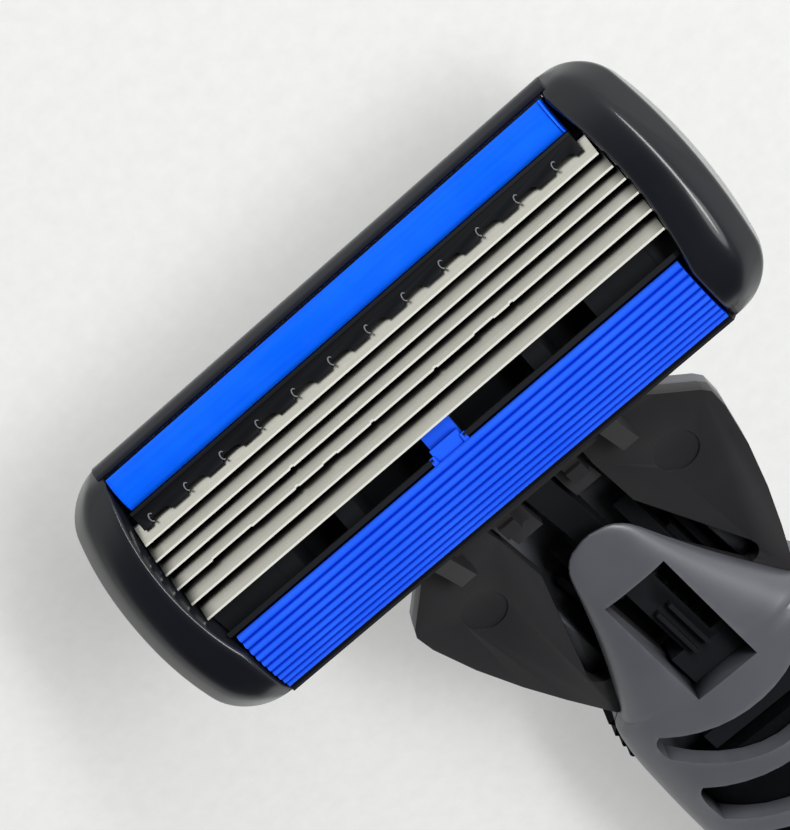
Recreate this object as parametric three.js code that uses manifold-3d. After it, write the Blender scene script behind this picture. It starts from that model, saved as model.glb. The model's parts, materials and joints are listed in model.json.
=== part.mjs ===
// Six-blade cartridge razor, lying on its back with the blades up.
// Millimetres. +X runs along the blades, +Y along the handle towards the head, +Z up.
//
// The handle is drawn with the root of its head at Y = 0. The cartridge is drawn in its own
// face frame: x along the blades, y from the guard to the cap, z out of the shaving face, with
// the blade edges on z = 0. One group tilts it onto the head.

import * as THREE from 'three';
import { mergeVertices } from 'three/addons/utils/BufferGeometryUtils.js';
import Module from 'manifold-3d';

const wasm = await Module();
wasm.setup();

// ---- Driving dimensions: cartridge, in the face frame ----
const TILT = THREE.MathUtils.degToRad(28);   // shaving face against the handle
const FACE_Y = 13.31;                        // origin of the face frame, on the handle
const FACE_Z = 6.29;
const CAP_TOP_Y = 8.2;                       // top and bottom of the end caps
const CAP_BOTTOM_Y = -8.9;
const CAP_HALF_WIDTH = 20.9;                 // half the cartridge's width
const CAP_BARREL = 0.016;                    // how fast the ends bow in, per mm
const CAP_CORNER_R = 2.6;
const OPENING_HALF_WIDTH = 17.4;             // half the gap between the end caps
const OPENING_BARREL = 0.022;
const OPENING_MIN = 16.6;
const CAP_CROWN = 1.0;                       // end caps stand this far above the blade edges
const CAP_CENTRE_Y = -0.8;
const CAP_BACK = -6.6;                       // back of the end caps
const RIM_WIDTH = 1.75;                      // sloped band along their outer edge
const RIM_DROP = 1.75;
const TOP_BAR_Y = 7.28;                      // inner side of the bar that joins the end caps
const FIT_GAP = 0.12;                        // between cartridge pieces that are pressed together

const BLADE_EDGES = [2.72, 1.66, 0.70, -0.33, -1.50, -2.72];
const BLADE_THICK = 0.12;
const BLADE_TIP = 1.5;                       // from the edge to the bend
const BLADE_RAKE = THREE.MathUtils.degToRad(25);
const BLADE_FOOT = -3.9;
const BLADE_BEVEL = 0.45;

const GUARD_R = 6.0;                         // outer radius of the finned guard
const GUARD_Y = -4.45;                       // its axis
const GUARD_Z = -5.85;
const GUARD_ARC = 0.8;                       // radians covered by the fins
const GUARD_RUBBER = 0.85;
const GUARD_HALF_WIDTH = 16.4;
const FIN_COUNT = 10;
const FIN_HEIGHT = 0.22;
const TAB_HALF_WIDTH = 1.0;

const HOUSING_BACK = -4.8;
const HOUSING_TOP = -1.1;
const RIB_XS = [-11.6, -7.0, 0, 7.0, 11.6];
const RIB_THICK = 1.3;
const WINDOW_Y = [-4.0, 4.4];                // opening under the blades
const FLOOR_END = -2.0;                      // it is closed behind from the guard up to here

const STRIP_Y = [4.84, 7.1];
const STRIP_HALF_WIDTH = 16.4;
const STRIP_TOP = -0.15;
const COMB_TIP_Y = 3.47;
const COMB_PITCH = 2.76;
const COMB_FIRST_X = 0.02;                   // middle of the tooth nearest the centre
const COMB_TEETH = 11;
const SCALLOP_WIDTH = 1.5;
const SCALLOP_DEPTH = 0.33;

// ---- Driving dimensions: head and handle ----
const PIVOT_Y = 4.2;
const PIVOT_Z = 3.6;
const PIVOT_PIN_R = 0.7;
const PIVOT_BORE_R = 0.82;
const LUG_R = 1.75;                          // round the pivot, on the cartridge and the connector
const EAR_TIP = [-0.75, 2.2];                // rear lobe of the connector's ears
const EAR_TIP_R = 0.65;
const CAM_R = 0.8;                           // rib on the cartridge that the plunger pushes
const CAM_Y = 7.0;
const CAM_Z = -0.4;
const PLUNGER_HALF = 1.0;
const PLUNGER_GAP = 0.3;

const FAN_SLOPE = 0.14;                      // wing plate rises towards the cartridge
const FAN_Z0 = 1.5;                          // height of its front face at Y = 0
const FAN_THICK = 1.05;
const PLATE_GAP = 0.08;
const MARK_XY = [7.6, -4.6];                 // round ejector-pin mark on each wing
const MARK_R = 1.5;
const MARK_DEPTH = 0.12;
const HANDLE_TAIL = -122;
const SHELL_WALL = 1.3;
const PARTING_GAP = 0.1;

// Stations along the handle: [Y, value], joined by smooth steps.
const NOSE_HALF = [[-5.2, 0.3], [-5.5, 1.35], [-6.2, 2.15], [-6.9, 2.55], [-9.2, 3.35], [-12.3, 4.5],
  [-16.2, 6.2], [-18.0, 7.1], [-18.6, 7.9], [-19.6, 8.3], [-22.5, 8.75], [-30, 9.2], [-37, 9.1],
  [-50, 8.3], [-66, 7.2], [-82, 6.6], [-98, 6.8], [-116, 7.6]];
const BACK_HALF = [[0.3, 6.3], [-8, 6.8], [-18.0, 7.2], [-18.6, 7.9], [-19.6, 8.3], [-22.5, 8.75],
  [-30, 9.2], [-37, 9.1], [-50, 8.3], [-66, 7.2], [-82, 6.6], [-98, 6.8], [-116, 7.6]];
const FRONT_Z = [[-5.2, 1.0], [-10, 1.5], [-20, 2.0], [-31, 2.4], [-45, 1.9], [-62, 0.7], [-82, -0.3],
  [-100, 0.1], [-116, 0.9]];
const SPLIT_Z = [[0, -1.2], [-20, -1.6], [-45, -2.6], [-70, -4.0], [-116, -4.0]];
const BACK_Z = [[0.3, -5.4], [-10, -6.6], [-24, -8.0], [-36, -9.3], [-106, -9.3], [-116, -8.8]];
const CAVITY_Z = [[0.3, -4.1], [-10, -5.0], [-28, -5.2], [-31, -7.2], [-38, -8.0], [-106, -8.0],
  [-112, -7.6]];
const NECK_Y = -18.1;                        // the wings end and the full handle starts
const SHELL_END = -116;                      // the tail cap starts here

const BUTTON_TRAVEL = 3.5;
const BUTTON_Y = [-25.6, -15.2];
const BUTTON_HALF = 4.1;
const BUTTON_TOP = -6.35;
const BUTTON_BOTTOM = -8.5;
const TRACK_FLOOR = -6.15;
const EJECTOR_Z = [-4.35, -3.35];            // main plate
const FINGER_Z = [-3.9, -2.5];               // its two fingers, raised to the connector
const EJECTOR_TAIL = -23.6;
const DOCK_HALF = 3.65;                      // half the width of the dock's mouth
const PRONG_BACK = -3.0;
const SPRING_Z = -1.25;
const PLUNGER_TAIL = -11.2;
const SPRING_SEAT = -16.5;
const TONGUE_TIP = -10.1;                    // the chassis covers the spring up to here
const NOSE_WINDOW_Y = [-18.95, -9.75];
const NOSE_WINDOW_HALF = 2.35;
const GROOVES = 4;
const GRIP_Y = [-100, -36];                  // rubber pad that the razor lies on
const GRIP_HALF = 4.2;
const GRIP_BOTTOM = -9.5;
const GRIP_TOP = -8.7;
const GRIP_GROOVE_PITCH = 4;
const SIDE_GRIP_Y = [-23.3, -18.9];          // rubber pads beside the neck
const SIDE_GRIP_Z = [-5.0, -2.1];
const BUMP_Y = -20.9;                        // one of their bumps, which stand 1 mm apart
const BUMP_END = -22.5;
const BUMP_HEIGHT = 0.42;
const CORE_Z = -2.3;                         // top of the chassis spine
const BUTTON_SPRING_LENGTH = 5.2;
const SEAT_GAP = 0.3;                        // between a spring and what it bears on

// ---- Small helpers ----

// Joins the geometry's shared corners and hands it to manifold-3d.
function solid(geometry) {
  const bare = geometry.clone();
  bare.deleteAttribute('normal');
  bare.deleteAttribute('uv');
  const merged = mergeVertices(bare, 1e-4);
  const mesh = new wasm.Mesh({
    numProp: 3,
    vertProperties: new Float32Array(merged.attributes.position.array),
    triVerts: new Uint32Array(merged.index.array),
  });
  return new wasm.Manifold(mesh);
}

function geometryOf(manifold) {
  const mesh = manifold.getMesh();
  const geometry = new THREE.BufferGeometry();
  geometry.setAttribute('position', new THREE.BufferAttribute(new Float32Array(mesh.vertProperties), 3));
  geometry.setIndex(new THREE.BufferAttribute(new Uint32Array(mesh.triVerts), 1));
  return geometry;
}

function union(...parts) {
  return parts.reduce((sum, part) => sum.add(part));
}

// Smooth value at y from a list of [y, value] stations that run towards the tail.
function along(stations, y) {
  const last = stations.length - 1;
  if (y >= stations[0][0]) return stations[0][1];
  if (y <= stations[last][0]) return stations[last][1];
  const i = stations.findIndex(([at]) => at < y) - 1;
  const slope = (k) => {
    const a = stations[Math.max(k - 1, 0)];
    const b = stations[Math.min(k + 1, last)];
    return (b[1] - a[1]) / (b[0] - a[0]);
  };
  const [y0, v0] = stations[i];
  const [y1, v1] = stations[i + 1];
  const span = y1 - y0;
  const t = (y - y0) / span;
  const held = (1 + 2 * t) * (1 - t) ** 2 * v0 + t * t * (3 - 2 * t) * v1;
  return held + span * t * (1 - t) ** 2 * slope(i) - span * t * t * (1 - t) * slope(i + 1);
}

// Closed skin through rings of equal length, each end closed from its middle.
function loft(rings) {
  const count = rings[0].length;
  const last = (rings.length - 1) * count;
  const points = rings.flat();
  const index = [];
  for (let start = 0; start < last; start += count) {
    for (let i = 0; i < count; i += 1) {
      const next = (i + 1) % count;
      index.push(start + i, start + next, start + count + i);
      index.push(start + next, start + count + next, start + count + i);
    }
  }
  const middle = (ring) => ring.reduce((sum, p) => sum.add(p), new THREE.Vector3()).divideScalar(count);
  points.push(middle(rings[0]), middle(rings[rings.length - 1]));
  for (let i = 0; i < count; i += 1) {
    const next = (i + 1) % count;
    index.push(next, i, points.length - 2);
    index.push(last + i, last + next, points.length - 1);
  }
  return outward(points, index);
}

// Geometry from points and triangles, turned so that its faces point out.
function outward(points, index) {
  let volume = 0;
  for (let i = 0; i < index.length; i += 3) {
    const [a, b, c] = [points[index[i]], points[index[i + 1]], points[index[i + 2]]];
    volume += a.dot(b.clone().cross(c));
  }
  if (volume < 0) index.reverse();
  const geometry = new THREE.BufferGeometry().setFromPoints(points);
  geometry.setIndex(index);
  return geometry;
}

function outline(points) {
  return new THREE.Shape(points.map(([u, v]) => new THREE.Vector2(u, v)));
}

// A shape in the XY plane, from z0 up to z1.
function plate(shape, z0, z1, segments = 8) {
  const geometry = new THREE.ExtrudeGeometry(shape, {
    depth: z1 - z0, bevelEnabled: false, curveSegments: segments,
  });
  return geometry.translate(0, 0, z0);
}

// A shape drawn in the YZ plane, from x0 to x1.
function bar(shape, x0, x1, segments = 8) {
  const geometry = new THREE.ExtrudeGeometry(shape, {
    depth: x1 - x0, bevelEnabled: false, curveSegments: segments,
  });
  const turn = new THREE.Matrix4().makeBasis(
    new THREE.Vector3(0, 1, 0), new THREE.Vector3(0, 0, 1), new THREE.Vector3(1, 0, 0));
  return geometry.applyMatrix4(turn).translate(x0, 0, 0);
}

function box([x0, x1], [y0, y1], [z0, z1]) {
  const geometry = new THREE.BoxGeometry(x1 - x0, y1 - y0, z1 - z0);
  return geometry.translate((x0 + x1) / 2, (y0 + y1) / 2, (z0 + z1) / 2);
}

function disc(x, y, radius) {
  return new THREE.Shape().absarc(x, y, radius, 0, 2 * Math.PI, false);
}

function linspace(from, to, count) {
  return Array.from({ length: count }, (_, i) => from + (to - from) * i / (count - 1));
}

function named(name, geometry, material) {
  const mesh = new THREE.Mesh(geometry, material);
  mesh.name = name;
  return mesh;
}

function finish(color, roughness, metalness = 0) {
  return new THREE.MeshStandardMaterial({ color, roughness, metalness });
}

// A point of the handle, in the face frame.
function toFace(y, z) {
  const dy = y - FACE_Y;
  const dz = z - FACE_Z;
  return [dy * Math.cos(TILT) - dz * Math.sin(TILT), dy * Math.sin(TILT) + dz * Math.cos(TILT)];
}

// ---- Materials ----
const SATIN_BLACK = finish(0x232427, 0.42);
const DARK_PLASTIC = finish(0x1c1c1e, 0.55);
const WING_PLASTIC = finish(0x2c2a2b, 0.5);
const HANDLE_PLASTIC = finish(0x3a3a3e, 0.38);
const BLACK_RUBBER = finish(0x141416, 0.85);
const BLUE_RUBBER = finish(0x1d55f5, 0.6);
const BLUE_STRIP = finish(0x0558ff, 0.5);
const BLADE_STEEL = finish(0xc3c2b4, 0.3, 1);
const SPRING_STEEL = finish(0xb0b0b0, 0.3, 1);

// ---- Cartridge ----

// Half-width of the end cap's outside at height y: a barrel with rounded corners.
function capOuter(y) {
  const barrel = CAP_HALF_WIDTH - CAP_BARREL * (y + 0.5) ** 2;
  const rise = Math.max(y - (CAP_TOP_Y - CAP_CORNER_R), (CAP_BOTTOM_Y + CAP_CORNER_R) - y, 0);
  return barrel - CAP_CORNER_R + Math.sqrt(Math.max(CAP_CORNER_R ** 2 - rise ** 2, 0));
}

function capInner(y) {
  return Math.max(OPENING_MIN, OPENING_HALF_WIDTH - OPENING_BARREL * (y - 0.5) ** 2);
}

// Height of the end cap's face at y: crowned, and rolled off at both ends.
function capFace(y) {
  const reach = y > CAP_CENTRE_Y ? 8.2 : 7.4;
  const crown = CAP_CROWN - 1.9 * (Math.abs(y - CAP_CENTRE_Y) / reach) ** 2.5;
  const beyond = Math.max(y - (CAP_TOP_Y - 1), (CAP_BOTTOM_Y + 1) - y, 0);
  return crown - 1.1 * (1 - Math.sqrt(1 - Math.min(beyond, 1) ** 2));
}

function capBack(y) {
  return CAP_BACK + 2.2 * (Math.abs(y + 0.5) / 8.6) ** 4;
}

// Section of one end cap at y: flat face, sloped rim, side wall and back.
function capRing(y, side) {
  const inner = capInner(y);
  const outer = capOuter(y);
  const face = capFace(y);
  const back = capBack(y);
  const rim = Math.min(RIM_WIDTH, 0.6 * (outer - inner));
  const ring = [
    [inner, face], [outer - rim, face - 0.1], [outer - 0.8 * rim, face - 0.3],
    [outer - 0.08 * rim, face - RIM_DROP + 0.15], [outer, face - RIM_DROP - 0.2],
    [outer - 0.12 * rim, back + 1.0], [outer - 0.7 * rim, back], [inner, back],
  ];
  return ring.map(([x, z]) => new THREE.Vector3(side * x, y, z));
}

function frontFrame() {
  const ys = [-8.9, -8.75, -8.4, -7.8, -6.8, -5.2, -3, -0.8, 1.6, 4, 5.6, 6.7, 7.5, 7.95, 8.2];
  const caps = [-1, 1].map((side) => solid(loft(ys.map((y) => capRing(y, side)))));
  const front = capFace(TOP_BAR_Y);
  const section = new THREE.Shape();
  const top = CAP_TOP_Y - 0.07;
  section.moveTo(TOP_BAR_Y, -4.4);
  section.lineTo(top, -4.0);
  section.lineTo(top, front - 1.1);
  section.absarc(top - 0.8, front - 1.1, 0.8, 0, Math.PI / 2, false);
  section.lineTo(TOP_BAR_Y, front - 0.36);
  const reach = OPENING_MIN + 0.35;
  return geometryOf(union(caps[0], caps[1], solid(bar(section, -reach, reach, 6))));
}

function bladeUnder(edgeY, y) {
  return -(y - edgeY) * Math.tan(BLADE_RAKE) - BLADE_THICK / Math.cos(BLADE_RAKE);
}

function bladeBend(edgeY) {
  return edgeY + BLADE_TIP * Math.cos(BLADE_RAKE);
}

// A blade: a raked tip ground to an edge, bent down into a foot that stands in the housing.
function blade(edgeY) {
  const bend = bladeBend(edgeY);
  const inside = bend - BLADE_THICK;
  const section = outline([
    [edgeY, 0], [edgeY + BLADE_BEVEL, bladeUnder(edgeY, edgeY + BLADE_BEVEL)],
    [inside, bladeUnder(edgeY, inside)], [inside, BLADE_FOOT], [bend, BLADE_FOOT],
    [bend, -BLADE_TIP * Math.sin(BLADE_RAKE)],
  ]);
  const half = Math.min(capInner(edgeY), capInner(bend)) - FIT_GAP;
  return bar(section, -half, half);
}

// A point on the guard's round, at an angle from its crest and a depth under its surface.
function onGuard(angle, depth) {
  const radius = GUARD_R - depth;
  return [GUARD_Y - radius * Math.sin(angle), GUARD_Z + radius * Math.cos(angle)];
}

function guardFins() {
  const steps = FIN_COUNT * 6;
  const skin = linspace(0, 1, steps + 1).map((t) => {
    const ridge = Math.abs(Math.sin(Math.PI * FIN_COUNT * t));
    return onGuard(GUARD_ARC * t, FIN_HEIGHT * (1 - ridge));
  });
  const base = linspace(GUARD_ARC, 0, 9).map((angle) => onGuard(angle, GUARD_RUBBER));
  const pad = solid(bar(outline([...skin, ...base]), -GUARD_HALF_WIDTH, GUARD_HALF_WIDTH));
  const tab = solid(box([-TAB_HALF_WIDTH, TAB_HALF_WIDTH], [-4.6, -2.55], [-1.05, -0.75]));
  const riser = solid(box([-TAB_HALF_WIDTH, TAB_HALF_WIDTH], [-4.6, -3.6], [-1.05, -0.2]));
  return geometryOf(union(pad, tab, riser));
}

// Outline of everything that sits between the end caps.
function betweenCaps(y0, y1, gap) {
  const ys = linspace(y0, y1, 13);
  const right = ys.map((y) => [capInner(y) - gap, y]);
  const left = ys.slice().reverse().map((y) => [-(capInner(y) - gap), y]);
  return outline([...right, ...left]);
}

function guardBar() {
  const lip = 0.06;
  const floor = linspace(0, GUARD_ARC + 0.02, 9).map((angle) => onGuard(angle, GUARD_RUBBER + 0.1));
  return outline([
    [-4.0, HOUSING_BACK], [-4.0, -0.1], [-4.3, -0.1], ...floor,
    onGuard(GUARD_ARC + 0.02, -0.02), onGuard(GUARD_ARC + lip, -0.02),
    [onGuard(GUARD_ARC + lip, 0)[0], HOUSING_BACK + 0.8], [-8.2, HOUSING_BACK],
  ]);
}

function cartridgeHousing() {
  const [y0, y1] = WINDOW_Y;
  const half = OPENING_HALF_WIDTH;
  const guard = solid(bar(guardBar(), -half, half));
  const capRail = solid(box([-half, half], [y1, TOP_BAR_Y - FIT_GAP], [HOUSING_BACK, -1.8]));
  const ends = [-1, 1].map((side) => {
    const [a, b] = [side * 15.4, side * half].sort((p, q) => p - q);
    return solid(box([a, b], [y0 - 0.1, y1 + 0.1], [HOUSING_BACK, HOUSING_TOP]));
  });
  const plates = [-1, 1].map((side) => {
    const [a, b] = [side * 11.1, side * half].sort((p, q) => p - q);
    return solid(box([a, b], [y0 - 0.1, -1.7], [-1.8, -1.15]));
  });
  const ribs = RIB_XS.map((x) => solid(box(
    [x - RIB_THICK / 2, x + RIB_THICK / 2], [y0 - 0.1, y1 + 0.1], [HOUSING_BACK, HOUSING_TOP])));
  const floor = solid(box([-half, half], [y0 - 0.1, FLOOR_END], [HOUSING_BACK, HOUSING_BACK + 0.6]));
  let body = union(guard, capRail, floor, ...ends, ...plates, ...ribs);
  for (const edgeY of BLADE_EDGES) {
    const bend = bladeBend(edgeY);
    const foot = [bend - BLADE_THICK - FIT_GAP, bend + FIT_GAP];
    body = body.subtract(solid(box([-half, half], foot, [BLADE_FOOT - FIT_GAP, 1])));
  }
  const tabSeat = box([-TAB_HALF_WIDTH - 0.1, TAB_HALF_WIDTH + 0.1], [-4.7, -2.4], [-1.2, 1]);
  body = body.subtract(solid(tabSeat));
  body = body.intersect(solid(plate(betweenCaps(-9.4, TOP_BAR_Y, FIT_GAP), -7, 1)));
  return geometryOf(union(body, ...pivotLugs(), camRib()));
}

// Two lugs with bores on the pivot axis, hanging from the back of the housing.
function pivotLugs() {
  const [y, z] = toFace(PIVOT_Y, PIVOT_Z);
  const shape = new THREE.Shape();
  shape.moveTo(y - LUG_R, HOUSING_BACK + 0.2);
  shape.lineTo(y - LUG_R, z);
  shape.absarc(y, z, LUG_R, Math.PI, 2 * Math.PI, false);
  shape.lineTo(y + LUG_R, HOUSING_BACK + 0.2);
  shape.holes.push(new THREE.Path().absarc(y, z, PIVOT_BORE_R, 0, 2 * Math.PI, true));
  return [[-5.2, -3.8], [3.8, 5.2]].map(([x0, x1]) => solid(bar(shape, x0, x1, 12)));
}

function camRib() {
  const [y, z] = toFace(CAM_Y, CAM_Z);
  const shape = new THREE.Shape();
  shape.moveTo(y - CAM_R, HOUSING_BACK + 0.2);
  shape.lineTo(y - CAM_R, z);
  shape.absarc(y, z, CAM_R, Math.PI, 2 * Math.PI, false);
  shape.lineTo(y + CAM_R, HOUSING_BACK + 0.2);
  return solid(bar(shape, -0.65, 0.65, 10));
}

// Tray for the strip, with a scalloped comb over the first blade.
function capComb() {
  const [s0, s1] = STRIP_Y;
  const tray = outline([
    [s0 - 0.3, -1.7], [s1, -1.7], [s1, -1.25], [s0 - 0.08, -1.25], [s0 - 0.08, 0.05], [s0 - 0.3, 0.05],
  ]);
  const half = STRIP_HALF_WIDTH + 0.08;
  const comb = new THREE.Shape();
  const root = s0 - 0.08;
  const slope = 0.3;
  comb.moveTo(-half, root);
  comb.lineTo(-half, COMB_TIP_Y);
  for (let i = 0; i <= COMB_TEETH; i += 1) {
    const x = COMB_FIRST_X + COMB_PITCH * (i - COMB_TEETH / 2);
    comb.lineTo(x - SCALLOP_WIDTH / 2, COMB_TIP_Y);
    comb.lineTo(x - SCALLOP_WIDTH / 2 + slope, COMB_TIP_Y + SCALLOP_DEPTH);
    comb.lineTo(x + SCALLOP_WIDTH / 2 - slope, COMB_TIP_Y + SCALLOP_DEPTH);
    comb.lineTo(x + SCALLOP_WIDTH / 2, COMB_TIP_Y);
  }
  comb.lineTo(half, COMB_TIP_Y);
  comb.lineTo(half, root);
  return geometryOf(union(solid(bar(tray, -half, half)), solid(plate(comb, -0.14, 0.1))));
}

function lubricatingStrip() {
  const [y0, y1] = STRIP_Y;
  const section = new THREE.Shape();
  section.moveTo(y0, -1.2);
  section.lineTo(y1, -1.2);
  section.lineTo(y1, STRIP_TOP - 0.35);
  section.quadraticCurveTo((y0 + y1) / 2, STRIP_TOP + 0.35, y0, STRIP_TOP - 0.2);
  return bar(section, -STRIP_HALF_WIDTH, STRIP_HALF_WIDTH, 8);
}

function cartridge() {
  const group = new THREE.Group();
  group.add(named('front_frame', frontFrame(), SATIN_BLACK));
  group.add(named('cartridge_housing', cartridgeHousing(), DARK_PLASTIC));
  group.add(named('cap_comb', capComb(), DARK_PLASTIC));
  group.add(named('lubricating_strip', lubricatingStrip(), BLUE_STRIP));
  group.add(named('guard_fins', guardFins(), BLUE_RUBBER));
  BLADE_EDGES.forEach((edgeY, i) => group.add(named(`blade_${i + 1}`, blade(edgeY), BLADE_STEEL)));
  group.position.set(0, FACE_Y, FACE_Z);
  group.rotation.x = -TILT;
  return group;
}

// ---- Connector: the piece that the cartridge pivots on and that plugs into the head ----

function connectorYoke() {
  const ear = new THREE.Shape();
  ear.absarc(PIVOT_Y, PIVOT_Z, LUG_R, -Math.PI / 3, Math.PI * 0.6, false);
  ear.absarc(EAR_TIP[0], EAR_TIP[1], EAR_TIP_R, Math.PI * 0.6, Math.PI * 1.5, false);
  const prong = outline([
    [PRONG_BACK, -2.3], [5.0, -2.3], [5.0, 1.2], [2.6, 1.2], [2.6, 2.4], [0.7, 2.4], [0.7, 0.6],
    [-1.8, 0.6], [PRONG_BACK, 0.2],
  ]);
  const hook = outline([[0.8, 0.5], [0.8, 1.3], [-0.5, 1.3], [-0.6, 1.57], [-1.5, 1.57], [-1.7, 0.5]]);
  const sides = [-1, 1].flatMap((side) => {
    const between = (a, b) => [side * a, side * b].sort((p, q) => p - q);
    return [
      solid(bar(ear, ...between(5.75, 6.95), 10)),
      solid(bar(disc(PIVOT_Y, PIVOT_Z, PIVOT_PIN_R), ...between(4.0, 5.9), 8)),
      solid(bar(prong, ...between(1.35, 3.3))),
      solid(bar(hook, ...between(2.05, 3.2))),
    ];
  });
  const beam = solid(box([-6.9, 6.9], [0.7, 1.9], [1.75, 2.9]));
  const floor = solid(box([-3.3, 3.3], [PRONG_BACK, 5.0], [-3.1, -2.25]));
  return geometryOf(union(beam, floor, ...sides));
}

// ---- Mechanism inside the head ----

function plunger() {
  const tip = CAM_Y - CAM_R - PLUNGER_GAP;
  const rod = outline([
    [PLUNGER_TAIL + 0.5, -2.0], [tip, -2.0], [tip, 0.3], [tip - 0.4, 0.6], [-0.6, 0.6], [-5.0, -0.5],
    [PLUNGER_TAIL + 0.5, -0.5],
  ]);
  const collar = box([-1.6, 1.6], [PLUNGER_TAIL, PLUNGER_TAIL + 1], [-2.1, -0.4]);
  return geometryOf(union(solid(bar(rod, -PLUNGER_HALF, PLUNGER_HALF)), solid(collar)));
}

// A coil spring whose axis runs along Y: one round wire swept along its helix.
class Helix extends THREE.Curve {
  constructor(radius, coils, length) {
    super();
    this.radius = radius;
    this.coils = coils;
    this.length = length;
  }

  getPoint(t, target = new THREE.Vector3()) {
    const angle = 2 * Math.PI * this.coils * t;
    return target.set(this.radius * Math.cos(angle), this.length * t, this.radius * Math.sin(angle));
  }
}

function spring(radius, wire, coils, length) {
  const section = disc(0, 0, wire);
  return new THREE.ExtrudeGeometry(section, {
    steps: coils * 10, curveSegments: 3, extrudePath: new Helix(radius, coils, length),
  });
}

// Plate that the button slides: two fingers push the connector out of the head.
function ejector() {
  const front = PRONG_BACK - BUTTON_TRAVEL - PLUNGER_GAP;
  const main = box([-3.4, 3.4], [EJECTOR_TAIL, -11], EJECTOR_Z);
  const fingers = [[-3.0, -1.8], [1.8, 3.0]].map((xs) => solid(box(xs, [-12.5, front], FINGER_Z)));
  return geometryOf(union(solid(main), ...fingers));
}

// Thumb slider on the back: ridged cap, and a neck that reaches through the shell.
function releaseButton() {
  const [tail, head] = BUTTON_Y;
  const shape = new THREE.Shape();
  shape.moveTo(tail, BUTTON_TOP);
  shape.lineTo(tail, BUTTON_BOTTOM + 0.9);
  shape.quadraticCurveTo(tail, BUTTON_BOTTOM, tail + 1.2, BUTTON_BOTTOM);
  const pitch = 1.5;
  for (let ridge = 0; ridge < 5; ridge += 1) {
    const y = tail + 1.2 + ridge * pitch;
    shape.quadraticCurveTo(y + pitch / 2, BUTTON_BOTTOM + 0.9, y + pitch, BUTTON_BOTTOM);
  }
  shape.lineTo(head, BUTTON_TOP - 0.5);
  shape.lineTo(head, BUTTON_TOP);
  const cap = solid(bar(shape, -BUTTON_HALF, BUTTON_HALF, 4));
  const neck = solid(box([-2.2, 2.2], [-22.0, -17.6], [BUTTON_TOP - 0.1, EJECTOR_Z[0] - 0.05]));
  return geometryOf(union(cap, neck));
}

// ---- Head and handle ----

function fanZ(y) {
  return FAN_Z0 + FAN_SLOPE * y;
}

// Half outline of the wings from the front corner to the neck.
const WING_EDGE = [[8.4, 0.5], [9.4, -0.5], [11.3, -2.3], [11.65, -2.9], [11.6, -4.4], [10.9, -7.8],
  [9.85, -11.3], [8.7, -14.4], [7.25, -17.9]];

function wingShape() {
  const left = WING_EDGE.slice().reverse().map(([x, y]) => [-x, y]);
  return outline([...left, ...WING_EDGE]);
}

// Opening in the wing plate: a stem for the dock, and two legs that run beside the nose.
function legOpening() {
  const shape = new THREE.Shape();
  shape.moveTo(DOCK_HALF + 0.25, 1);
  shape.lineTo(DOCK_HALF, -1.2);
  shape.lineTo(DOCK_HALF, -5.4);
  shape.lineTo(6.72, -13.9);
  shape.absarc(5.8, -14.3, 0.95, 0.4, -2.0, true);
  shape.lineTo(3.2, -10.2);
  shape.lineTo(-3.2, -10.2);
  shape.lineTo(-5.4, -15.16);
  shape.absarc(-5.8, -14.3, 0.95, Math.PI + 2.0, Math.PI - 0.4, true);
  shape.lineTo(-DOCK_HALF, -5.4);
  shape.lineTo(-DOCK_HALF, -1.2);
  shape.lineTo(-DOCK_HALF - 0.25, 1);
  return shape;
}

// A slab that follows the wings' slope, between two depths under their front face.
function sloped(shape, deep, shallow, segments = 8) {
  const shear = new THREE.Matrix4().makeShear(0, 0, 0, FAN_SLOPE, 0, 0);
  return plate(shape, -deep, -shallow, segments).applyMatrix4(shear).translate(0, 0, FAN_Z0);
}

function wingPlate() {
  const body = solid(sloped(wingShape(), FAN_THICK, 0));
  const bay = box([-2.35, 2.35], [-17.3, -9], [-5, 5]);
  const [x, y] = MARK_XY;
  const marks = [-x, x].map((at) => sloped(disc(at, y, MARK_R), MARK_DEPTH, -1, 16));
  const cuts = [sloped(legOpening(), 3, -3, 10), bay, ...marks];
  return geometryOf(cuts.reduce((sum, cut) => sum.subtract(solid(cut)), body));
}

// Rear half of the wings, open in the middle for the mechanism.
function wingBacking() {
  const top = FAN_THICK + PLATE_GAP;
  const body = solid(sloped(wingShape(), top + FAN_THICK, top));
  const bay = outline([[-5.2, 1], [-5.2, -16.6], [5.2, -16.6], [5.2, 1]]);
  return geometryOf(body.subtract(solid(sloped(bay, 6, -3))));
}

// Section of a shell at y: half a squared-off ellipse from the parting plane to its crown.
function shellRing(y, half, splitZ, crownZ, power) {
  return linspace(0, Math.PI, 15).map((angle) => {
    const x = half * Math.sign(Math.cos(angle)) * Math.abs(Math.cos(angle)) ** (2 / power);
    const z = splitZ + (crownZ - splitZ) * Math.abs(Math.sin(angle)) ** (2 / power);
    return new THREE.Vector3(x, y, z);
  });
}

const NOSE_YS = [-5.2, -5.5, -6.2, -6.9, -9.2, -12.3, -16.2, -18.0];
const HANDLE_YS = [-18.2, -18.6, -19.6, -22.5, -26, -30, -36, -44, -54, -66, -82, -98, -108, SHELL_END];
const FRONT_POWER = 2.8;
const BACK_POWER = 3.2;

function frontSplit(y) {
  return y > NECK_Y ? fanZ(y) + PLATE_GAP : along(SPLIT_Z, y) + PARTING_GAP / 2;
}

function backSplit(y) {
  return y > NECK_Y ? fanZ(y) - 2 * FAN_THICK - 2 * PLATE_GAP : along(SPLIT_Z, y) - PARTING_GAP / 2;
}

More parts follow.
